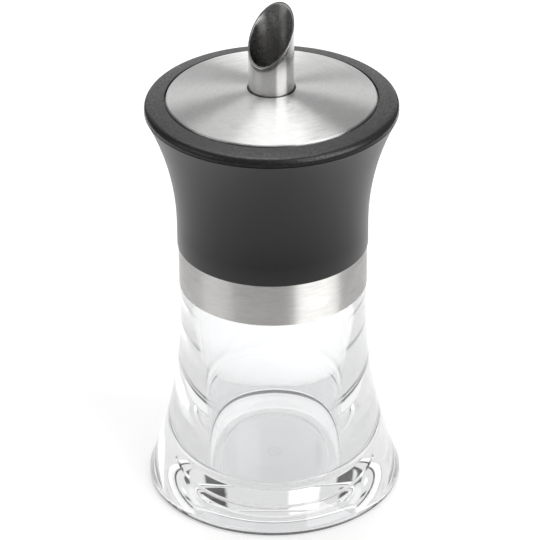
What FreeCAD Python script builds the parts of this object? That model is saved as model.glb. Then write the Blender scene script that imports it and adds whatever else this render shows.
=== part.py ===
import FreeCAD, Part
import math
import os

# Sugar dispenser: a clear flared jar, a steel band, a flared black collar, a black top ring
# with a shallow socket plate, a domed steel cover and a thin steel pouring spout.
# Millimetres, +Z up. The origin is the centre of the jar's base, on the table.
# Every piece but the slanted end of the spout is turned about the Z axis.

# ---------------------------------------------------------------- jar
JAR_BODY_H = 64.35        # table to the shoulder that the band sits on
JAR_TOP_R = 26.65         # outside radius just under the band
JAR_BASE_R = 36.65        # outside radius at the foot
JAR_STRAIGHT_H = 6.85     # upright stretch of the side under the shoulder
JAR_EDGE_H = 2.0          # upright edge at the foot
JAR_EDGE_ROUND = 1.0      # rounding between that edge and the underside
JAR_FLOOR_T = 4.6         # thickness of the floor above the table
JAR_FLOOR_FILLET = 6.4    # rounding between the floor and the cavity wall
CAVITY_TAPER = 1.6        # how much narrower the cavity's waist is than its mouth
CAVITY_WAIST_H = 24.0     # height of that waist above the table
RECESS_R = 19.0           # shallow round recess in the underside
RECESS_DEPTH = 0.7
RECESS_CHAMFER = 0.4
NECK_H = 11.5             # neck above the shoulder, hidden in the band
NECK_WALL = 1.95

# ---------------------------------------------------------------- band
BAND_H = 12.75
BAND_WALL = 0.5
BAND_PROUD = 0.2          # the band stands this far outside the jar

# ---------------------------------------------------------------- collar
COLLAR_H = 41.8           # band to the seam under the top ring
COLLAR_STEP = 0.3         # the collar stands this far outside the band
COLLAR_TOP_R = 35.55
COLLAR_STRAIGHT_H = 5.9   # upright stretch above the band
COLLAR_WALL = 2.2
SKIRT_WALL = 1.0          # skirt inside the band
SKIRT_SHORT = 0.4         # the skirt ends this far above the band's lower edge
SEAT_T = 2.0              # annular seat that rests on the jar's neck
BAND_CLEARANCE = 0.05     # skirt to band, on the radius
NECK_CLEARANCE = 0.15     # neck to skirt, on the radius

# ---------------------------------------------------------------- top ring
SEAM_H = 0.2              # fine seam between the collar and the ring
SEAM_DEPTH = 0.5
RING_H = 3.35             # seam's upper edge to the ring's highest point
RING_W = 5.65             # outside of the ring to the groove round the cover
RING_CORNER_R = 2.2
RING_SLOPE_DEG = 11.6     # fall of the ring's upper face towards the outside
RING_LIP_ROUND = 0.25
PLATE_T = 2.0             # plate under the cover
SPIGOT_H = 2.5            # wall that locates the ring inside the collar
SPIGOT_WALL = 1.6
SPIGOT_CLEARANCE = 0.1
SOCKET_H = 7.0            # height of the spout's socket
SOCKET_WALL = 2.1
SOCKET_LIP_H = 0.8        # the spout stands on this lip
SOCKET_CLEARANCE = 0.02

# ---------------------------------------------------------------- cover
GROOVE_W = 0.45           # dark groove round the cover
COVER_T = 0.6
COVER_RISE = 2.65         # crown of the dome, from its rolled edge to its hole
COVER_EDGE_R = 1.4        # outside radius of the rolled edge
COVER_HOLE_CLEARANCE = 0.42
COVER_EDGE_DROP = 0.85    # the rolled edge ends this far below the ring's highest point
PLATE_GAP = 0.2           # air between the plate and the dome

# ---------------------------------------------------------------- spout
SPOUT_R = 6.4
SPOUT_WALL = 0.45
SPOUT_CUT_H = 19.1        # ring's highest point to the middle of the slanted cut
SPOUT_CUT_DEG = 49.6      # slope of the cut from level
SPOUT_LOW_AZ = -121.7     # direction the low side of the cut faces, from +X

# ---------------------------------------------------------------- derived heights and radii
BAND_Z = JAR_BODY_H
COLLAR_Z = BAND_Z + BAND_H
COLLAR_TOP_Z = COLLAR_Z + COLLAR_H
RING_Z = COLLAR_TOP_Z + SEAM_H
RING_TOP_Z = RING_Z + RING_H
NECK_TOP_Z = JAR_BODY_H + NECK_H
SEAT_TOP_Z = NECK_TOP_Z + SEAT_T

BAND_R = JAR_TOP_R + BAND_PROUD
SKIRT_R = BAND_R - BAND_WALL - BAND_CLEARANCE
SKIRT_INNER_R = SKIRT_R - SKIRT_WALL
NECK_R = SKIRT_INNER_R - NECK_CLEARANCE
MOUTH_R = NECK_R - NECK_WALL
COLLAR_R = BAND_R + COLLAR_STEP

GROOVE_R = COLLAR_TOP_R - RING_W
COVER_R = GROOVE_R - GROOVE_W
COVER_EDGE_Z = RING_TOP_Z - COVER_EDGE_DROP
COVER_HOLE_R = SPOUT_R + COVER_HOLE_CLEARANCE
SPOUT_BORE_R = SPOUT_R - SPOUT_WALL
SOCKET_R = SPOUT_R + SOCKET_CLEARANCE


def vec(r, z):
    """Point of a profile in the XZ plane."""
    return FreeCAD.Vector(r, 0, z)


def line(a, b):
    return Part.LineSegment(vec(*a), vec(*b)).toShape()


def arc(centre, radius, start_deg, end_deg):
    """Arc of a profile; angles are measured from +X towards +Z."""
    angles = [start_deg, 0.5 * (start_deg + end_deg), end_deg]
    points = [polar(centre, radius, angle) for angle in angles]
    return Part.Arc(*[vec(*point) for point in points]).toShape()


def polar(centre, radius, angle_deg):
    angle = math.radians(angle_deg)
    return (centre[0] + radius * math.cos(angle), centre[1] + radius * math.sin(angle))


def ends(edge):
    """First and last point of an edge, in the order it was drawn."""
    first = edge.valueAt(edge.FirstParameter)
    last = edge.valueAt(edge.LastParameter)
    return (first.x, first.z), (last.x, last.z)


def turn(path):
    """Turn a closed profile about Z. The path holds points, joined by lines, and arcs."""
    edges = []
    here = None
    start = None
    for item in path:
        first, last = ends(item) if isinstance(item, Part.Shape) else (item, item)
        if here is not None and math.dist(here, first) > 1e-6:
            edges.append(line(here, first))
        if isinstance(item, Part.Shape):
            edges.append(item)
        start = first if start is None else start
        here = last
    edges.append(line(here, start))
    face = Part.Face(Part.Wire(edges))
    solid = face.revolve(FreeCAD.Vector(0, 0, 0), FreeCAD.Vector(0, 0, 1), 360)
    return solid.Solids[0] if solid.Solids else Part.Solid(solid)


def flare_radius(height, spread):
    """Radius of an arc that starts upright and moves out by spread over height."""
    return (height * height + spread * spread) / (2 * spread)


def angle_to(centre, point):
    return math.degrees(math.atan2(point[1] - centre[1], point[0] - centre[0]))


# ---------------------------------------------------------------- jar
def make_jar():
    flare_top = JAR_BODY_H - JAR_STRAIGHT_H
    flare = flare_radius(flare_top - JAR_EDGE_H, JAR_BASE_R - JAR_TOP_R)
    flare_centre = (JAR_TOP_R + flare, flare_top)
    foot_angle = angle_to(flare_centre, (JAR_BASE_R, JAR_EDGE_H))
    side = arc(flare_centre, flare, 180, foot_angle + 360)
    edge_centre = (JAR_BASE_R - JAR_EDGE_ROUND, JAR_EDGE_ROUND)
    foot = arc(edge_centre, JAR_EDGE_ROUND, 0, -90)

    waist_r = MOUTH_R - CAVITY_TAPER
    wall = flare_radius(JAR_BODY_H - CAVITY_WAIST_H, CAVITY_TAPER)
    wall_centre = (waist_r + wall, CAVITY_WAIST_H)
    # the fillet touches the floor from above and the wall's arc from inside the cavity
    fillet_z = JAR_FLOOR_T + JAR_FLOOR_FILLET
    reach = wall + JAR_FLOOR_FILLET
    fillet_r = wall_centre[0] - math.sqrt(reach ** 2 - (CAVITY_WAIST_H - fillet_z) ** 2)
    fillet_centre = (fillet_r, fillet_z)
    tangent = angle_to(fillet_centre, wall_centre)
    fillet = arc(fillet_centre, JAR_FLOOR_FILLET, -90, tangent)
    cavity_wall = arc(wall_centre, wall, tangent + 180, angle_to(wall_centre, (MOUTH_R, JAR_BODY_H)))
    return turn([
        (0, RECESS_DEPTH),
        (0, JAR_FLOOR_T),
        fillet,
        cavity_wall,
        (MOUTH_R, NECK_TOP_Z),
        (NECK_R, NECK_TOP_Z),
        (NECK_R, JAR_BODY_H),
        (JAR_TOP_R, JAR_BODY_H),
        side,
        foot,
        (RECESS_R, 0),
        (RECESS_R - RECESS_CHAMFER, RECESS_DEPTH),
    ])


# ---------------------------------------------------------------- band
def make_band():
    inner = BAND_R - BAND_WALL
    return turn([(inner, BAND_Z), (BAND_R, BAND_Z), (BAND_R, COLLAR_Z), (inner, COLLAR_Z)])


# ---------------------------------------------------------------- collar
def collar_flare():
    """Centre and radius of the collar's outside curve."""
    tangent_z = COLLAR_Z + COLLAR_STRAIGHT_H
    radius = flare_radius(COLLAR_TOP_Z - tangent_z, COLLAR_TOP_R - COLLAR_R)
    return (COLLAR_R + radius, tangent_z), radius


def collar_inner_r(z):
    """Inside radius of the flared part of the collar at height z."""
    centre, radius = collar_flare()
    return centre[0] - math.sqrt((radius + COLLAR_WALL) ** 2 - (z - centre[1]) ** 2)


def make_collar():
    centre, radius = collar_flare()
    outside = arc(centre, radius, 180, angle_to(centre, (COLLAR_TOP_R, COLLAR_TOP_Z)))
    inner_top = (collar_inner_r(COLLAR_TOP_Z), COLLAR_TOP_Z)
    inside = arc(centre, radius + COLLAR_WALL, angle_to(centre, inner_top), 180)
    skirt_z = BAND_Z + SKIRT_SHORT
    return turn([
        (SKIRT_INNER_R, skirt_z),
        (SKIRT_R, skirt_z),
        (SKIRT_R, COLLAR_Z),
        (COLLAR_R, COLLAR_Z),
        outside,
        inside,
        (COLLAR_R - COLLAR_WALL, SEAT_TOP_Z),
        (MOUTH_R, SEAT_TOP_Z),
        (MOUTH_R, NECK_TOP_Z),
        (SKIRT_INNER_R, NECK_TOP_Z),
    ])


# ---------------------------------------------------------------- cover and the plate under it
def dome():
    """The cover's crown: centre on the axis, radius, and the point where its edge rolls down."""
    roll_r = COVER_R - COVER_EDGE_R
    hole_z = COVER_EDGE_Z + COVER_EDGE_R + COVER_RISE
    edge_z = COVER_EDGE_Z + COVER_EDGE_R
    half = (roll_r ** 2 - COVER_HOLE_R ** 2) / (2 * (hole_z - edge_z))
    centre_z = 0.5 * (hole_z + edge_z) - half
    radius = math.hypot(roll_r, edge_z - centre_z)
    return (0, centre_z), radius


def dome_point(radius, r):
    centre, _ = dome()
    return (r, centre[1] + math.sqrt(radius ** 2 - r ** 2))


def rolled_edge():
    """Centre of the roll: inside the dome, touching it, with its outside at COVER_R."""
    centre, radius = dome()
    roll_r = COVER_R - COVER_EDGE_R
    roll_z = centre[1] + math.sqrt((radius - COVER_EDGE_R) ** 2 - roll_r ** 2)
    return (roll_r, roll_z)


def make_cover():
    centre, radius = dome()
    roll = rolled_edge()
    split = angle_to(centre, roll)
    hole = angle_to(centre, dome_point(radius, COVER_HOLE_R))
    inner_radius = radius - COVER_T
    inner_hole = angle_to(centre, dome_point(inner_radius, COVER_HOLE_R))
    return turn([
        arc(centre, radius, hole, split),
        arc(roll, COVER_EDGE_R, split, 0),
        (COVER_R, COVER_EDGE_Z),
        (COVER_R - COVER_T, COVER_EDGE_Z),
        arc(roll, COVER_EDGE_R - COVER_T, 0, split),
        arc(centre, inner_radius, split, inner_hole),
    ])


# ---------------------------------------------------------------- top ring
def make_top_ring():
    slope = math.radians(RING_SLOPE_DEG)
    corner_r = COLLAR_TOP_R - RING_CORNER_R
    # the upper face falls from the lip beside the groove to the corner, which touches it
    touch_r = corner_r + RING_CORNER_R * math.sin(slope)
    touch_z = RING_TOP_Z - (touch_r - GROOVE_R) * math.tan(slope)
    corner = (corner_r, touch_z - RING_CORNER_R * math.cos(slope))
    lip_r = GROOVE_R + RING_LIP_ROUND
    lip_face_z = RING_TOP_Z - (lip_r + RING_LIP_ROUND * math.sin(slope) - GROOVE_R) * math.tan(slope)
    lip = (lip_r, lip_face_z - RING_LIP_ROUND * math.cos(slope))

    centre, radius = dome()
    plate_radius = radius - COVER_T - PLATE_GAP
    plate_r = COVER_R - COVER_T - PLATE_GAP
    under_radius = plate_radius - PLATE_T
    socket_outer_r = SOCKET_R + SOCKET_WALL
    plate_edge = dome_point(plate_radius, plate_r)
    under_edge_r = collar_inner_r(COLLAR_TOP_Z - SPIGOT_H) - SPIGOT_CLEARANCE - SPIGOT_WALL
    spigot_z = COLLAR_TOP_Z - SPIGOT_H
    socket_top = dome_point(plate_radius, SOCKET_R)
    socket_z = socket_top[1] - SOCKET_H
    lip_z = socket_z + SOCKET_LIP_H
    plate_top = arc(centre, plate_radius, angle_to(centre, socket_top), angle_to(centre, plate_edge))
    plate_under = arc(
        centre,
        under_radius,
        angle_to(centre, dome_point(under_radius, under_edge_r)),
        angle_to(centre, dome_point(under_radius, socket_outer_r)),
    )
    return turn([
        plate_top,
        (plate_r, COVER_EDGE_Z),
        (GROOVE_R, COVER_EDGE_Z),
        arc(lip, RING_LIP_ROUND, 180, 90 - RING_SLOPE_DEG),
        arc(corner, RING_CORNER_R, 90 - RING_SLOPE_DEG, 0),
        (COLLAR_TOP_R, RING_Z),
        (COLLAR_TOP_R - SEAM_DEPTH, RING_Z),
        (COLLAR_TOP_R - SEAM_DEPTH, COLLAR_TOP_Z),
        (under_edge_r + SPIGOT_WALL, COLLAR_TOP_Z),
        (under_edge_r + SPIGOT_WALL, spigot_z),
        (under_edge_r, spigot_z),
        plate_under,
        (socket_outer_r, socket_z),
        (SPOUT_BORE_R, socket_z),
        (SPOUT_BORE_R, lip_z),
        (SOCKET_R, lip_z),
    ])


# ---------------------------------------------------------------- spout
def make_spout():
    centre, radius = dome()
    plate_radius = radius - COVER_T - PLATE_GAP
    foot_z = dome_point(plate_radius, SOCKET_R)[1] - SOCKET_H + SOCKET_LIP_H
    cut_z = RING_TOP_Z + SPOUT_CUT_H
    reach = SPOUT_R * math.tan(math.radians(SPOUT_CUT_DEG))
    height = cut_z + 2 * reach - foot_z
    outer = Part.makeCylinder(SPOUT_R, height, vec(0, foot_z))
    bore = Part.makeCylinder(SPOUT_BORE_R, height, vec(0, foot_z))
    tube = outer.cut(bore)
    # a block whose lower face is the cut: tipped about Y, then turned to the low side
    side = 4 * (SPOUT_R + reach)
    block = Part.makeBox(side, side, side, FreeCAD.Vector(-side / 2, -side / 2, 0))
    tip = FreeCAD.Rotation(FreeCAD.Vector(0, 1, 0), SPOUT_CUT_DEG)
    swing = FreeCAD.Rotation(FreeCAD.Vector(0, 0, 1), SPOUT_LOW_AZ)
    block.Placement = FreeCAD.Placement(vec(0, cut_z), swing.multiply(tip))
    return tube.cut(block).Solids[0]


MAKERS = {
    "jar": make_jar,
    "band": make_band,
    "collar": make_collar,
    "top_ring": make_top_ring,
    "cover": make_cover,
    "spout": make_spout,
}

os.makedirs("parts", exist_ok=True)
for name, maker in MAKERS.items():
    maker().exportStep(os.path.join("parts", name + ".step"))
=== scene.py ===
import math

import bpy
from mathutils import Matrix, Vector


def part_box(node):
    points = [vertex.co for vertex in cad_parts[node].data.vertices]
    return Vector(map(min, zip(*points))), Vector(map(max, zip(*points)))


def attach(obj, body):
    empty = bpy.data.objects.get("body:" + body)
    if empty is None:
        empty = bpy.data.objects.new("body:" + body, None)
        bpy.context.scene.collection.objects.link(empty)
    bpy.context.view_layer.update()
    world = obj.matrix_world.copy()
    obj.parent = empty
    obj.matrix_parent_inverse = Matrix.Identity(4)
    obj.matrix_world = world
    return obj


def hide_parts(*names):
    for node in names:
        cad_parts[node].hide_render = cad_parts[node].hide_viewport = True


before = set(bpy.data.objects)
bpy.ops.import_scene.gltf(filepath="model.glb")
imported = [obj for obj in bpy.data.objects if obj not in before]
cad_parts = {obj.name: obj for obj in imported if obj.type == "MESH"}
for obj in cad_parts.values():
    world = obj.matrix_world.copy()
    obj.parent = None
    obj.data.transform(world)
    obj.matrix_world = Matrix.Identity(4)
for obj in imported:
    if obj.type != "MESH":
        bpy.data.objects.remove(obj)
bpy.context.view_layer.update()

# Sugar dispenser: clear flared jar, steel band, flared black collar, black top ring, domed steel
# cover and a thin slant-cut steel spout. Shapes are in millimetres, and a profile is a list of
# (radius, height). Heights and outside radii come from the boxes of the CAD nodes in model.glb.
MM = 0.001


def reach(node):
    """Outside radius, lowest and highest point of a CAD node, in millimetres."""
    low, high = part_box(node)
    return high.x / MM, low.z / MM, high.z / MM


JAR_R, _, NECK_TOP_Z = reach("jar")
BAND_R, BAND_Z, COLLAR_Z = reach("band")
COLLAR_TOP_R, SKIRT_Z, COLLAR_TOP_Z = reach("collar")
COVER_R, COVER_EDGE_Z, COVER_TOP_Z = reach("cover")
SPOUT_R, SPOUT_Z, SPOUT_TIP_Z = reach("spout")

# jar
BAND_PROUD = 0.2              # the band stands this far outside the jar
JAR_TOP_R = BAND_R - BAND_PROUD
JAR_STRAIGHT_H = 6.85         # upright stretch of the side under the band
JAR_EDGE_H = 2.0              # upright edge at the foot
JAR_EDGE_ROUND = 1.0          # rounding between that edge and the underside
FLOOR_Z = 4.6
FLOOR_FILLET = 6.4            # rounding between the floor and the cavity's wall
CAVITY_TAPER = 1.6            # how much narrower the cavity's waist is than its mouth
CAVITY_WAIST_Z = 24.0
NECK_R = 25.15
MOUTH_R = 23.2
RECESS_R = 19.0               # shallow round recess in the underside
RECESS_DEPTH = 0.7
RECESS_CHAMFER = 0.4

# band and collar
BAND_WALL = 0.5
BAND_EDGE_ROUND = 0.12
BAND_CLEARANCE = 0.05         # skirt to band, on the radius
COLLAR_STEP = 0.3             # the collar stands this far outside the band
COLLAR_R = BAND_R + COLLAR_STEP
COLLAR_STRAIGHT_H = 5.9       # upright stretch above the band
COLLAR_WALL = 2.2
COLLAR_EDGE_ROUND = 0.25      # rounding of the collar's lower edge
SKIRT_WALL = 1.0              # skirt inside the band
SKIRT_R = BAND_R - BAND_WALL - BAND_CLEARANCE
SKIRT_INNER_R = SKIRT_R - SKIRT_WALL
SEAT_T = 2.0                  # seat that rests on the jar's neck
SEAT_TOP_Z = NECK_TOP_Z + SEAT_T

# top ring, with the hidden plate and socket under the cover
SEAM_H = 0.2
SEAM_DEPTH = 0.5
RING_H = 3.35                 # seam's upper edge to the ring's highest point
RING_Z = COLLAR_TOP_Z + SEAM_H
RING_TOP_Z = RING_Z + RING_H
RING_CORNER_R = 1.8           # tighter than the solid's corner
RING_SLOPE = 11.6             # degrees that the ring's upper face falls towards the outside
RING_LIP_ROUND = 0.25
PLATE_GAP = 0.2               # air between the plate and the cover
PLATE_T = 2.0
SPIGOT_H = 2.5                # wall that locates the ring inside the collar
SPIGOT_WALL = 1.6
SPIGOT_CLEARANCE = 0.1
SOCKET_H = 7.0
SOCKET_WALL = 2.1
SOCKET_LIP_H = 0.8            # the spout stands on this lip
SOCKET_CLEARANCE = 0.02

# cover
GROOVE_W = 0.45               # dark groove round the cover
GROOVE_R = COVER_R + GROOVE_W
COVER_T = 0.6
COVER_EDGE_R = 1.4            # the solid's rolled edge, where its crown ends
COVER_ROLL_R = 0.6            # the tighter rolled edge that shows
COVER_HOLE_CLEARANCE = 0.42
COVER_HOLE_R = SPOUT_R + COVER_HOLE_CLEARANCE
COVER_HOLE_CHAMFER = 0.12

# spout
SPOUT_WALL = 0.45
SPOUT_EDGE = 0.1              # rounding of the cut's edges
SPOUT_CUT_SLOPE = 49.6        # degrees from level
SPOUT_LOW_AZIMUTH = -121.7    # direction the low side of the cut faces, from +X

# mesh
AROUND = 384                  # divisions round the axis
SPOUT_AROUND = 192
SPOUT_ROWS = 12               # divisions of the spout's height
SHARP_ANGLE = 30              # an edge that turns by more degrees is sharp
ON_AXIS = 1e-6                # a smaller radius is a point on the axis
SAME_POINT = 1e-4             # points nearer than this are one
# loops this far from an edge, a rounding or the axis keep a flat stretch's shading flat
LOOP_BY_EDGE = 0.2
LOOP_BY_ROUND = 0.3
LOOP_BY_AXIS = 0.3


# ---------------------------------------------------------------- shapes
def polar(centre, radius, angle):
    turn = math.radians(angle)
    return (centre[0] + radius * math.cos(turn), centre[1] + radius * math.sin(turn))


def arc(centre, radius, start, end, steps):
    """Points of an arc, both ends included; angles in degrees from outwards towards up."""
    return [polar(centre, radius, start + (end - start) * i / steps) for i in range(steps + 1)]


def run(start, end, steps):
    """Points of a straight stretch, both ends included."""
    return [
        (start[0] + (end[0] - start[0]) * i / steps, start[1] + (end[1] - start[1]) * i / steps)
        for i in range(steps + 1)
    ]


def angle_to(centre, point):
    """Direction in degrees from one point to another, from outwards towards up."""
    return math.degrees(math.atan2(point[1] - centre[1], point[0] - centre[0]))


def flare_radius(height, spread):
    """Radius of an arc that starts upright and moves out by spread over height."""
    return (height * height + spread * spread) / (2 * spread)


def without_doubles(profile):
    """The profile without points that fall on the one before."""
    kept = [profile[0]]
    for point in profile[1:]:
        if math.dist(point, kept[-1]) > SAME_POINT:
            kept.append(point)
    return kept


def vertex(radius, turn, height):
    """A point in metres, from millimetres and an angle round the axis in radians."""
    return (radius * MM * math.cos(turn), radius * MM * math.sin(turn), height * MM)


def make_piece(name, vertices, faces, node, material):
    mesh = bpy.data.meshes.new(name)
    mesh.from_pydata(vertices, [], faces)
    mesh.validate()
    mesh.shade_smooth()
    mesh.set_sharp_from_angle(angle=math.radians(SHARP_ANGLE))
    mesh.materials.append(material)
    piece = bpy.data.objects.new(name, mesh)
    bpy.context.scene.collection.objects.link(piece)
    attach(piece, "root")
    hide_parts(node)
    return piece


def turned(name, profile, node, material):
    """A piece turned about the axis.

    Its profile runs up the inside and down the outside. It is a closed loop, or a line with both
    ends on the axis.
    """
    profile = without_doubles(profile)
    loop = profile[0][0] > ON_AXIS or profile[-1][0] > ON_AXIS
    vertices = []
    rings = []
    for radius, height in profile:
        if radius < ON_AXIS:
            rings.append([len(vertices)] * AROUND)
            vertices.append((0, 0, height * MM))
            continue
        rings.append(list(range(len(vertices), len(vertices) + AROUND)))
        for i in range(AROUND):
            vertices.append(vertex(radius, 2 * math.pi * i / AROUND, height))
    faces = []
    for j in range(len(rings) if loop else len(rings) - 1):
        lower = rings[j]
        upper = rings[(j + 1) % len(rings)]
        for i in range(AROUND):
            k = (i + 1) % AROUND
            corners = [lower[i], upper[i], upper[k], lower[k]]
            # on the axis two corners are one point, so the face is a triangle
            faces.append(list(dict.fromkeys(corners)))
    return make_piece(name, vertices, faces, node, material)


# ---------------------------------------------------------------- materials
# Scales are per metre and depths are in metres, as Blender has them.
LINE_SCALE = 4800.0           # brushing lines, across the marks
STREAK_SCALE = 900.0          # broader streaks, across the marks
LINE_SHARE = 0.6              # how much of the steel's tone the lines give
CLOUD_SCALE = 60.0            # slow unevenness in the plastic's gloss
WIDE_NOISE = (0.3, 0.7)       # most of a noise's values lie between these
NARROW_NOISE = (0.4, 0.6)
QUARTER_TURN = 0.25           # draws the steel's gloss out across its marks

GLASS_IOR = 1.49
GLASS_CLEAR = (0.962, 0.966, 0.97)
# dark tint of the turned mark, and of the painted shade along the heel
GLASS_DARK = (0.035, 0.035, 0.037)
HEEL_SHADE_RADII = (0.0352, 0.0358)     # the painted heel shade sets in between these radii
HEEL_SHADE_HEIGHTS = (0.0011, 0.0016)   # and fades between these heights
MARK_RADII = (0.0024, 0.0036)     # the turned mark fades between these radii
MARK_HEIGHTS = (0.001, 0.002)     # and between these heights
MARK_TURNS = 4200.0               # radians of its wave per metre of radius
MARK_STRENGTH = 0.1
WAVE_SCALE = 90.0
WAVE_DEPTH = 0.00001


class Tree:
    """A node tree, with short calls for the nodes used here."""

    def __init__(self, tree):
        self.tree = tree

    def add(self, kind, **settings):
        node = self.tree.nodes.new(kind)
        for key, value in settings.items():
            setattr(node, key, value)
        return node

    def feed(self, socket, value):
        if isinstance(value, bpy.types.NodeSocket):
            self.tree.links.new(value, socket)
        else:
            socket.default_value = value

    def math(self, operation, *values):
        node = self.add("ShaderNodeMath", operation=operation)
        for socket, value in zip(node.inputs, values):
            self.feed(socket, value)
        return node.outputs[0]

    def length(self, x, y):
        """Length of a flat vector."""
        return self.math("SQRT", self.math("ADD", self.math("MULTIPLY", x, x), self.math("MULTIPLY", y, y)))

    def spread(self, value, low, high, start, end, blend="LINEAR"):
        """Value moved from start..end to low..high, and held at those past them."""
        node = self.add("ShaderNodeMapRange", interpolation_type=blend)
        self.feed(node.inputs["Value"], value)
        node.inputs["From Min"].default_value = start
        node.inputs["From Max"].default_value = end
        node.inputs["To Min"].default_value = low
        node.inputs["To Max"].default_value = high
        return node.outputs["Result"]


class Surface(Tree):
    """A material's node tree, round its shader."""

    def __init__(self, name):
        self.material = bpy.data.materials.new(name)
        self.material.use_nodes = True
        super().__init__(self.material.node_tree)
        self.shader = self.tree.nodes["Principled BSDF"]

    def look(self, name, value):
        """Set one of the shader's inputs, to a number or from a node."""
        self.feed(self.shader.inputs[name], value)

    def place(self):
        """Position in the part's own frame."""
        return self.add("ShaderNodeTexCoord").outputs["Object"]

    def axes(self):
        """That position's x, y and z."""
        split = self.add("ShaderNodeSeparateXYZ")
        self.feed(split.inputs[0], self.place())
        return split.outputs

    def noise(self, vector, scale, detail=2.0, roughness=0.5):
        node = self.add("ShaderNodeTexNoise")
        self.feed(node.inputs["Vector"], vector)
        node.inputs["Scale"].default_value = scale
        node.inputs["Detail"].default_value = detail
        node.inputs["Roughness"].default_value = roughness
        return node.outputs["Fac"]

    def tint(self, value, low, high):
        """Colour from low to high as value goes from 0 to 1."""
        ramp = self.add("ShaderNodeValToRGB")
        ramp.color_ramp.elements[0].color = (*low, 1)
        ramp.color_ramp.elements[1].color = (*high, 1)
        self.feed(ramp.inputs["Fac"], value)
        return ramp.outputs["Color"]

    def bump(self, height, distance):
        node = self.add("ShaderNodeBump")
        node.inputs["Strength"].default_value = 1.0
        node.inputs["Distance"].default_value = distance
        self.feed(node.inputs["Height"], height)
        self.look("Normal", node.outputs["Normal"])

    def lathe_place(self, along, across):
        """Seamless coordinates that stretch a texture round the axis, for brushing marks."""
        x, y, z = self.axes()
        radius = self.length(x, y)
        join = self.add("ShaderNodeCombineXYZ")
        self.feed(join.inputs[0], self.math("MULTIPLY", self.math("DIVIDE", x, radius), along))
        self.feed(join.inputs[1], self.math("MULTIPLY", self.math("DIVIDE", y, radius), along))
        self.feed(join.inputs[2], self.math("MULTIPLY", self.math("ADD", radius, z), across))
        return join.outputs[0]

    def round_axis(self):
        """Marks run round the axis, and gloss is drawn out across them."""
        node = self.add("ShaderNodeTangent", direction_type="RADIAL", axis="Z")
        self.look("Tangent", node.outputs[0])
        self.look("Anisotropic Rotation", QUARTER_TURN)


def brushed_steel(name, low, high, roughness, anisotropy, along, depth, bore=0.0, bore_roughness=0.0):
    """Steel brushed round the axis: fine lines in height and tone, and a gloss drawn out across them.

    A larger along gives shorter lines. Surfaces nearer the axis than bore, in metres, have
    bore_roughness instead.
    """
    steel = Surface(name)
    lines = steel.noise(steel.lathe_place(along, LINE_SCALE), 1.0, detail=3.0, roughness=0.65)
    streaks = steel.noise(steel.lathe_place(0.5 * along, STREAK_SCALE), 1.0)
    line_tone = steel.math("MULTIPLY", lines, LINE_SHARE)
    streak_tone = steel.math("MULTIPLY", streaks, 1 - LINE_SHARE)
    tone = steel.spread(steel.math("ADD", line_tone, streak_tone), 0.0, 1.0, *WIDE_NOISE)
    dull = steel.spread(streaks, 0.9 * roughness, 1.1 * roughness, *WIDE_NOISE)
    if bore:
        x, y, _ = steel.axes()
        inside = steel.spread(steel.length(x, y), 1.0, 0.0, bore - 0.1 * MM, bore + 0.1 * MM)
        dull = steel.math("ADD", dull, steel.math("MULTIPLY", inside, bore_roughness - roughness))
    steel.look("Base Color", steel.tint(tone, low, high))
    steel.look("Roughness", dull)
    steel.look("Metallic", 1.0)
    steel.look("Anisotropic", anisotropy)
    steel.round_axis()
    steel.bump(lines, depth)
    return steel.material


def moulded_black(name, low, high, roughness, gloss, grain, depth, speckle):
    """Black plastic with a fine moulded grain and a slight unevenness in its gloss."""
    plastic = Surface(name)
    place = plastic.place()
    fine = plastic.noise(place, grain, detail=4.0, roughness=0.6)
    cloud = plastic.noise(place, CLOUD_SCALE, detail=3.0)
    tone = plastic.spread(fine, 0.0, 1.0, *NARROW_NOISE)
    dull = plastic.spread(cloud, 0.94 * roughness, 1.06 * roughness, *WIDE_NOISE)
    glint = plastic.spread(fine, 1 + speckle, 1 - speckle, *NARROW_NOISE)
    plastic.look("Base Color", plastic.tint(tone, low, high))
    plastic.look("Roughness", plastic.math("MULTIPLY", dull, glint))
    plastic.look("Specular IOR Level", gloss)
    plastic.bump(fine, depth)
    return plastic.material


def clear_glass():
    """Clear thick glass, faintly wavy: painted shade along its heel, with a faint turned mark in its floor.
    """
    glass = Surface("clear_glass")
    x, y, z = glass.axes()
    radius = glass.length(x, y)
    wave = glass.math("SINE", glass.math("MULTIPLY", radius, MARK_TURNS))
    turns = glass.math("MULTIPLY", glass.spread(wave, 0.0, 1.0, -1.0, 1.0), MARK_STRENGTH)
    near_axis = glass.spread(radius, 1.0, 0.0, *MARK_RADII)
    in_floor = glass.spread(z, 1.0, 0.0, *MARK_HEIGHTS)
    mark = glass.math("MULTIPLY", turns, glass.math("MULTIPLY", near_axis, in_floor))
    # painted shade: the glass is tinted dark round the outside of its heel, low down
    edge = glass.spread(radius, 0.0, 1.0, *HEEL_SHADE_RADII)
    heel_shade = glass.math("MULTIPLY", edge, glass.spread(z, 1.0, 0.0, *HEEL_SHADE_HEIGHTS))
    dark = glass.math("ADD", mark, heel_shade)
    glass.look("Base Color", glass.tint(dark, GLASS_CLEAR, GLASS_DARK))
    glass.look("Roughness", 0.0)
    glass.look("IOR", GLASS_IOR)
    glass.look("Transmission Weight", 1.0)
    glass.bump(glass.noise(glass.place(), WAVE_SCALE), WAVE_DEPTH)
    return glass.material


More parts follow.
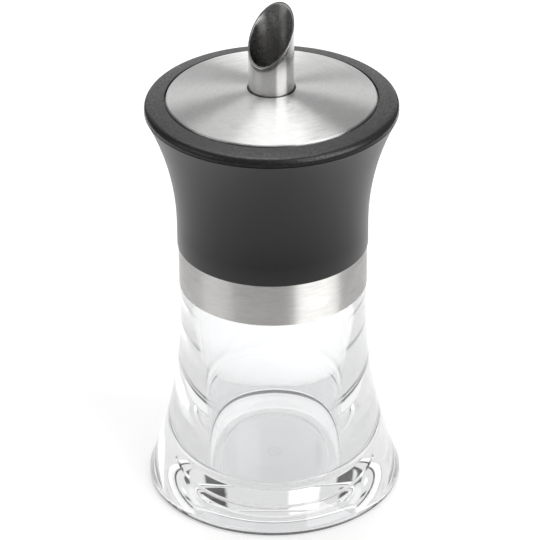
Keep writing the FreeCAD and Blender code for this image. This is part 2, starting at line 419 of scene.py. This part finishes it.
# ---------------------------------------------------------------- jar
def jar_profile():
    flare_top = BAND_Z - JAR_STRAIGHT_H
    flare = flare_radius(flare_top - JAR_EDGE_H, JAR_R - JAR_TOP_R)
    flare_centre = (JAR_TOP_R + flare, flare_top)
    foot_angle = angle_to(flare_centre, (JAR_R, JAR_EDGE_H)) + 360
    waist_r = MOUTH_R - CAVITY_TAPER
    wall = flare_radius(BAND_Z - CAVITY_WAIST_Z, CAVITY_TAPER)
    wall_centre = (waist_r + wall, CAVITY_WAIST_Z)
    fillet_z = FLOOR_Z + FLOOR_FILLET
    gap = math.sqrt((wall + FLOOR_FILLET) ** 2 - (CAVITY_WAIST_Z - fillet_z) ** 2)
    fillet_centre = (wall_centre[0] - gap, fillet_z)
    tangent = angle_to(fillet_centre, wall_centre)
    mouth_angle = angle_to(wall_centre, (MOUTH_R, BAND_Z))
    under_r = JAR_R - JAR_EDGE_ROUND
    recess = RECESS_R - RECESS_CHAMFER
    return [
        (0, FLOOR_Z),
        *run((LOOP_BY_AXIS, FLOOR_Z), (fillet_centre[0] - LOOP_BY_EDGE, FLOOR_Z), steps=6),
        *arc(fillet_centre, FLOOR_FILLET, -90, tangent, steps=40),
        *arc(wall_centre, wall, tangent + 180, mouth_angle, steps=60),
        *run((MOUTH_R, BAND_Z), (MOUTH_R, NECK_TOP_Z), steps=4),
        (NECK_R, NECK_TOP_Z),
        (NECK_R, BAND_Z),
        (JAR_TOP_R, BAND_Z),
        *run((JAR_TOP_R, BAND_Z - LOOP_BY_EDGE), (JAR_TOP_R, flare_top), steps=3),
        *arc(flare_centre, flare, 180, foot_angle, steps=90),
        (JAR_R, 0.5 * (JAR_EDGE_H + JAR_EDGE_ROUND)),
        *arc((under_r, JAR_EDGE_ROUND), JAR_EDGE_ROUND, 0, -90, steps=14),
        *run((under_r - LOOP_BY_ROUND, 0), (RECESS_R, 0), steps=3),
        *run((recess, RECESS_DEPTH), (LOOP_BY_AXIS, RECESS_DEPTH), steps=5),
        (0, RECESS_DEPTH),
    ]


turned("jar_body", jar_profile(), "jar", clear_glass())


# ---------------------------------------------------------------- band
def band_profile():
    inner_r = BAND_R - BAND_WALL
    round_r = BAND_R - BAND_EDGE_ROUND
    return [
        *run((inner_r, BAND_Z), (inner_r, COLLAR_Z), steps=4),
        *arc((round_r, COLLAR_Z - BAND_EDGE_ROUND), BAND_EDGE_ROUND, 90, 0, steps=6),
        *run((BAND_R, COLLAR_Z - LOOP_BY_ROUND), (BAND_R, BAND_Z + LOOP_BY_ROUND), steps=12),
        *arc((round_r, BAND_Z + BAND_EDGE_ROUND), BAND_EDGE_ROUND, 0, -90, steps=6),
    ]


turned(
    "steel_band",
    band_profile(),
    "band",
    brushed_steel(
        "band_steel",
        low=(0.66, 0.65, 0.635),
        high=(0.88, 0.87, 0.855),
        roughness=0.40,
        anisotropy=1.0,
        along=8.0,
        depth=0.000004,
    ),
)


# ---------------------------------------------------------------- collar
def collar_curve():
    """Centre and radius of the collar's outside curve."""
    tangent_z = COLLAR_Z + COLLAR_STRAIGHT_H
    radius = flare_radius(COLLAR_TOP_Z - tangent_z, COLLAR_TOP_R - COLLAR_R)
    return (COLLAR_R + radius, tangent_z), radius


def collar_inner_r(height):
    """Radius of the collar's inside at a height on its curve."""
    centre, radius = collar_curve()
    return centre[0] - math.sqrt((radius + COLLAR_WALL) ** 2 - (height - centre[1]) ** 2)


def collar_profile():
    centre, radius = collar_curve()
    outer_angle = angle_to(centre, (COLLAR_TOP_R, COLLAR_TOP_Z))
    inner_angle = angle_to(centre, (collar_inner_r(COLLAR_TOP_Z), COLLAR_TOP_Z))
    edge = (COLLAR_R - COLLAR_EDGE_ROUND, COLLAR_Z + COLLAR_EDGE_ROUND)
    return [
        (SKIRT_INNER_R, SKIRT_Z),
        (SKIRT_INNER_R, NECK_TOP_Z),
        (MOUTH_R, NECK_TOP_Z),
        (MOUTH_R, SEAT_TOP_Z),
        (COLLAR_R - COLLAR_WALL, SEAT_TOP_Z),
        *arc(centre, radius + COLLAR_WALL, 180, inner_angle, steps=30),
        *arc(centre, radius, outer_angle, 180, steps=60),
        *arc(edge, COLLAR_EDGE_ROUND, 0, -90, steps=6),
        (SKIRT_R, COLLAR_Z),
        (SKIRT_R, SKIRT_Z),
    ]


turned(
    "collar_shell",
    collar_profile(),
    "collar",
    moulded_black(
        "collar_plastic",
        low=(0.006, 0.006, 0.0062),
        high=(0.009, 0.009, 0.0092),
        roughness=0.33,
        gloss=0.4,
        grain=9000.0,
        depth=0.000004,
        speckle=0.1,
    ),
)


# ---------------------------------------------------------------- cover
def dome():
    """Centre and radius of the cover's crown."""
    rim_r = COVER_R - COVER_EDGE_R
    rim_z = COVER_EDGE_Z + COVER_EDGE_R
    below = (rim_r ** 2 - COVER_HOLE_R ** 2) / (2 * (COVER_TOP_Z - rim_z))
    centre_z = 0.5 * (COVER_TOP_Z + rim_z) - below
    return (0, centre_z), math.hypot(rim_r, rim_z - centre_z)


def dome_point(dome_radius, radius):
    """Point at a radius on a sphere with the crown's centre."""
    centre, _ = dome()
    return (radius, centre[1] + math.sqrt(dome_radius ** 2 - radius ** 2))


def cover_profile():
    centre, outer = dome()
    inner = outer - COVER_T
    inner_edge_r = COVER_R - COVER_T
    roll = dome_point(outer - COVER_ROLL_R, COVER_R - COVER_ROLL_R)
    roll_angle = angle_to(centre, roll)
    hole_angle = angle_to(centre, dome_point(outer, COVER_HOLE_R + COVER_HOLE_CHAMFER))
    inner_edge_angle = angle_to(centre, dome_point(inner, inner_edge_r))
    inner_hole_angle = angle_to(centre, dome_point(inner, COVER_HOLE_R))
    _, brim_z = dome_point(outer, COVER_HOLE_R)
    return [
        *arc(centre, inner, inner_hole_angle, inner_edge_angle, steps=30),
        (inner_edge_r, COVER_EDGE_Z),
        (COVER_R, COVER_EDGE_Z),
        *arc(roll, COVER_ROLL_R, 0, roll_angle, steps=14),
        *arc(centre, outer, roll_angle, hole_angle, steps=60),
        (COVER_HOLE_R, brim_z - COVER_HOLE_CHAMFER),
    ]


turned(
    "steel_cover",
    cover_profile(),
    "cover",
    brushed_steel(
        "cover_steel",
        low=(0.54, 0.54, 0.535),
        high=(0.76, 0.76, 0.755),
        roughness=0.40,
        anisotropy=1.0,
        along=8.0,
        depth=0.000004,
    ),
)


# ---------------------------------------------------------------- top ring
def ring_profile():
    slope = math.radians(RING_SLOPE)
    face_angle = 90 - RING_SLOPE
    # the outer corner touches the sloping upper face
    corner_r = COLLAR_TOP_R - RING_CORNER_R
    touch_r = corner_r + RING_CORNER_R * math.sin(slope)
    touch_z = RING_TOP_Z - (touch_r - GROOVE_R) * math.tan(slope)
    corner = (corner_r, touch_z - RING_CORNER_R * math.cos(slope))
    # so does the lip round the groove
    lip_r = GROOVE_R + RING_LIP_ROUND
    lip_z = RING_TOP_Z - (lip_r + RING_LIP_ROUND * math.sin(slope) - GROOVE_R) * math.tan(slope)
    lip = (lip_r, lip_z - RING_LIP_ROUND * math.cos(slope))
    # hidden plate and socket
    centre, crown = dome()
    plate = crown - COVER_T - PLATE_GAP
    plate_r = COVER_R - COVER_T - PLATE_GAP
    under = plate - PLATE_T
    socket_r = SPOUT_R + SOCKET_CLEARANCE
    socket_outer_r = socket_r + SOCKET_WALL
    socket_top = dome_point(plate, socket_r)
    socket_z = socket_top[1] - SOCKET_H
    lip_top_z = socket_z + SOCKET_LIP_H
    bore_r = SPOUT_R - SPOUT_WALL
    spigot_z = COLLAR_TOP_Z - SPIGOT_H
    spigot_r = collar_inner_r(spigot_z) - SPIGOT_CLEARANCE
    spigot_inner_r = spigot_r - SPIGOT_WALL
    under_start = angle_to(centre, dome_point(under, spigot_inner_r))
    under_end = angle_to(centre, dome_point(under, socket_outer_r))
    plate_start = angle_to(centre, socket_top)
    plate_end = angle_to(centre, dome_point(plate, plate_r))
    seam_r = COLLAR_TOP_R - SEAM_DEPTH
    return [
        (bore_r, socket_z),
        (bore_r, lip_top_z),
        (socket_r, lip_top_z),
        *arc(centre, plate, plate_start, plate_end, steps=20),
        (plate_r, COVER_EDGE_Z),
        (GROOVE_R, COVER_EDGE_Z),
        *arc(lip, RING_LIP_ROUND, 180, face_angle, steps=8),
        *arc(corner, RING_CORNER_R, face_angle, 0, steps=24),
        (COLLAR_TOP_R, RING_Z),
        (seam_r, RING_Z),
        (seam_r, COLLAR_TOP_Z),
        (spigot_r, COLLAR_TOP_Z),
        (spigot_r, spigot_z),
        (spigot_inner_r, spigot_z),
        *arc(centre, under, under_start, under_end, steps=20),
        (socket_outer_r, socket_z),
    ]


turned(
    "grained_ring",
    ring_profile(),
    "top_ring",
    moulded_black(
        "ring_plastic",
        low=(0.0, 0.0, 0.0),
        high=(0.03, 0.03, 0.03),
        roughness=0.34,
        gloss=0.5,
        grain=1900.0,
        depth=0.00003,
        speckle=0.3,
    ),
)


# ---------------------------------------------------------------- spout
def make_spout(material):
    """A thin tube whose end is cut on a slant, with the cut's edges slightly rounded."""
    outer = SPOUT_R
    inner = SPOUT_R - SPOUT_WALL
    bevel = 0.3 * SPOUT_EDGE
    tan = math.tan(math.radians(SPOUT_CUT_SLOPE))
    middle = SPOUT_TIP_Z - outer * tan
    low = math.radians(SPOUT_LOW_AZIMUTH)

    def cut(radius, turn):
        """Height of the slanted cut at a radius and direction."""
        return middle - radius * math.cos(turn - low) * tan

    # each row: radius, share of the height up to the cut, drop below the cut
    rows = [(inner, i / SPOUT_ROWS, SPOUT_EDGE) for i in range(SPOUT_ROWS + 1)]
    rows += [(inner + bevel, 1, bevel), (inner + SPOUT_EDGE, 1, 0)]
    rows += [(outer - SPOUT_EDGE, 1, 0), (outer - bevel, 1, bevel)]
    rows += [(outer, i / SPOUT_ROWS, SPOUT_EDGE) for i in range(SPOUT_ROWS, -1, -1)]
    vertices = []
    for radius, share, drop in rows:
        for i in range(SPOUT_AROUND):
            turn = 2 * math.pi * i / SPOUT_AROUND
            top = cut(radius, turn) - drop
            vertices.append(vertex(radius, turn, SPOUT_Z + (top - SPOUT_Z) * share))
    faces = []
    for j in range(len(rows)):
        start = j * SPOUT_AROUND
        after = (j + 1) % len(rows) * SPOUT_AROUND
        for i in range(SPOUT_AROUND):
            k = (i + 1) % SPOUT_AROUND
            faces.append((start + i, after + i, after + k, start + k))
    return make_piece("steel_spout", vertices, faces, "spout", material)


make_spout(
    brushed_steel(
        "spout_steel",
        low=(0.54, 0.535, 0.53),
        high=(0.68, 0.67, 0.66),
        roughness=0.16,
        anisotropy=0.8,
        along=10.0,
        depth=0.000002,
        bore=0.0062,
        bore_roughness=0.28,
    )
)


# ---------------------------------------------------------------- stage
# The floor glows and is even where the camera sees it. For all other light it is a painted pool of light:
# bright round a middle, and fading between two radii to the share left, or to a larger share in the glass.
FLOOR_SIDE = 6.0
FLOOR_DROP = 0.00002          # keeps the floor from touching the jar's underside
FLOOR_GREYS = ((0.61, 0.61, 0.61), (0.63, 0.63, 0.63))
FLOOR_GRAIN = 900.0
FLOOR_GLOW = 0.52
SEEN_IN_GLASS = 0.83
POOL_MIDDLE = (-0.032, 0.133)
POOL_FADE = (0.27, 0.37)
POOL_LEFT = 0.08
# Panels of the studio, each laid over the ones before: azimuth from the camera's side towards its
# right and elevation of the middle, half width, half height and edge softness, all in degrees,
# then brightness.
ROOM_TONE = 0.16
PANELS = (
    ("upper_room", 180, 62, 60, 22, 8, 0.35),
    ("left_high", -146, 57, 18, 12, 6, 2.0),
    ("right_window", 54, 15, 27, 40, 3, 3.3),
    ("left_panel", -69, 5, 20, 23, 4, 1.2),
    ("backdrop", 180, 8, 36, 22, 3, 1.0),
    ("back_panel", 180, 38, 19, 10, 3, 1.0),
    ("back_top", 180, 58, 18, 10, 4, 2.4),
)
# What the clear glass shows of the room: paler, with a few dark gaps.
GLASS_TONE = 0.78
GLASS_PANELS = (
    ("right_window", 54, 15, 27, 40, 3, 1.5),
    ("back_top", 180, 55, 40, 12, 3, 0.95),
    ("back_patch", -169.5, 33, 5.5, 4, 1, 1.3),
    ("gap_right", 156.5, 33, 5.5, 5, 1, 0.08),
    ("gap_left", -150.5, 33, 4.5, 5, 1, 0.08),
    ("horizon", 180, 1.5, 17, 2, 1, 0.3),
)
# A round light overhead: elevation above the horizon behind, half angle, softness, brightness.
OVERHEAD = (82, 16, 5, 3.9)
OVERHEAD_IN_GLASS = 0.25      # its brightness where the glass shows it
# The camera looks a little left of the axis and above the pivot, with a slight roll.
CAMERA_DISTANCE = 1.0299
CAMERA_ELEVATION = 30.0
CAMERA_ROLL = -0.51
PIVOT_Z = 0.0643
AIM_RIGHT = -0.000858
AIM_UP = 0.002346


def make_floor():
    """White floor that glows, with a painted pool of light for all rays but the camera's."""
    white = Surface("floor_white")
    grain = white.noise(white.place(), FLOOR_GRAIN)
    white.look("Base Color", white.tint(grain, *FLOOR_GREYS))
    white.look("Roughness", 0.8)
    white.look("Specular IOR Level", 0.1)
    x, y, _ = white.axes()
    # painted pool of light: the floor is lit round POOL_MIDDLE and fades to POOL_LEFT of that past
    # POOL_FADE
    right = white.math("SUBTRACT", x, POOL_MIDDLE[0])
    behind = white.math("SUBTRACT", y, POOL_MIDDLE[1])
    pool = white.spread(white.length(right, behind), 1.0, POOL_LEFT, *POOL_FADE)
    path = white.add("ShaderNodeLightPath")
    in_glass = white.math("MULTIPLY", path.outputs["Is Transmission Ray"], SEEN_IN_GLASS)
    seen = white.math("MAXIMUM", path.outputs["Is Camera Ray"], in_glass)
    glow = white.add("ShaderNodeEmission")
    glow.inputs["Strength"].default_value = FLOOR_GLOW
    lit = white.add("ShaderNodeAddShader")
    white.feed(lit.inputs[0], white.shader.outputs[0])
    white.feed(lit.inputs[1], glow.outputs[0])
    unlit = white.add("ShaderNodeBsdfDiffuse")
    unlit.inputs["Color"].default_value = (0, 0, 0, 1)
    mix = white.add("ShaderNodeMixShader")
    white.feed(mix.inputs[0], white.math("MAXIMUM", pool, seen))
    white.feed(mix.inputs[1], unlit.outputs[0])
    white.feed(mix.inputs[2], lit.outputs[0])
    white.feed(white.tree.nodes["Material Output"].inputs["Surface"], mix.outputs[0])
    corners = [(-FLOOR_SIDE, -FLOOR_SIDE, 0), (FLOOR_SIDE, -FLOOR_SIDE, 0)]
    corners += [(FLOOR_SIDE, FLOOR_SIDE, 0), (-FLOOR_SIDE, FLOOR_SIDE, 0)]
    mesh = bpy.data.meshes.new("floor")
    mesh.from_pydata(corners, [], [(0, 1, 2, 3)])
    mesh.materials.append(white.material)
    floor = bpy.data.objects.new("floor", mesh)
    floor.location.z = -FLOOR_DROP
    bpy.context.scene.collection.objects.link(floor)


def make_world():
    """A dim even room with soft panels, and a paler one for what the glass shows."""
    world = bpy.data.worlds.new("studio")
    world.use_nodes = True
    sky = Tree(world.node_tree)
    direction = sky.add("ShaderNodeTexCoord").outputs["Generated"]

    def along(axis):
        """How far the direction points along an axis."""
        node = sky.add("ShaderNodeVectorMath", operation="DOT_PRODUCT")
        sky.feed(node.inputs[0], direction)
        node.inputs[1].default_value = axis
        return node.outputs["Value"]

    def inside(angle, half, soft):
        """1 within half of zero, 0 past it, in degrees with a soft edge; the angle is in radians."""
        start, end = math.radians(half - soft), math.radians(half + soft)
        return sky.spread(sky.math("ABSOLUTE", angle), 1.0, 0.0, start, end, blend="SMOOTHSTEP")

    rise = sky.math("ARCSINE", along((0, 0, 1)))

    def room(tone, panels):
        """Brightness in every direction: an even tone with panels laid over it."""
        light = tone
        for _, azimuth, elevation, half_width, half_height, soft, brightness in panels:
            turn = math.radians(azimuth)
            ahead = along((math.sin(turn), -math.cos(turn), 0))
            aside = along((math.cos(turn), math.sin(turn), 0))
            across = inside(sky.math("ARCTAN2", aside, ahead), half_width, soft)
            up = inside(sky.math("SUBTRACT", rise, math.radians(elevation)), half_height, soft)
            change = sky.math("SUBTRACT", brightness, light)
            light = sky.math("ADD", light, sky.math("MULTIPLY", sky.math("MULTIPLY", across, up), change))
        return light

    elevation, half, soft, brightness = OVERHEAD
    tilt = math.radians(elevation)
    off_axis = sky.math("ARCCOSINE", along((0, math.cos(tilt), math.sin(tilt))))
    overhead = sky.math("MULTIPLY", inside(off_axis, half, soft), brightness)
    studio = sky.math("ADD", room(ROOM_TONE, PANELS), overhead)
    dimmed = sky.math("MULTIPLY", overhead, OVERHEAD_IN_GLASS / brightness)
    through = sky.math("ADD", room(GLASS_TONE, GLASS_PANELS), dimmed)
    in_glass = sky.add("ShaderNodeLightPath").outputs["Is Transmission Ray"]
    change = sky.math("MULTIPLY", in_glass, sky.math("SUBTRACT", through, studio))
    sky.feed(sky.tree.nodes["Background"].inputs["Color"], sky.math("ADD", studio, change))
    bpy.context.scene.world = world


def make_camera():
    """Seen from 30 degrees above, a metre away."""
    elevation = math.radians(CAMERA_ELEVATION)
    pivot = Vector((0, 0, PIVOT_Z))
    back = Vector((0, -math.cos(elevation), math.sin(elevation)))
    up = Vector((0, math.sin(elevation), math.cos(elevation)))
    eye = pivot + back * CAMERA_DISTANCE
    aim = pivot + Vector((AIM_RIGHT, 0, 0)) + up * AIM_UP
    z = (eye - aim).normalized()
    x = Vector((0, 0, 1)).cross(z).normalized()
    y = z.cross(x)
    turn = Matrix((x, y, z)).transposed() @ Matrix.Rotation(math.radians(CAMERA_ROLL), 3, "Z")
    lens = bpy.data.cameras.new("camera")
    lens.lens = 240
    lens.sensor_width = 36
    lens.clip_start = 0.1
    lens.clip_end = 20
    camera = bpy.data.objects.new("camera", lens)
    bpy.context.scene.collection.objects.link(camera)
    camera.matrix_world = Matrix.Translation(eye) @ turn.to_4x4()
    bpy.context.scene.camera = camera


make_floor()
make_world()
make_camera()
bpy.context.scene.view_settings.view_transform = "Standard"
# light that is turned back many times inside the thick glass still gets out
bpy.context.scene.cycles.max_bounces = 32
bpy.context.scene.cycles.glossy_bounces = 24
bpy.context.scene.cycles.transmission_bounces = 24
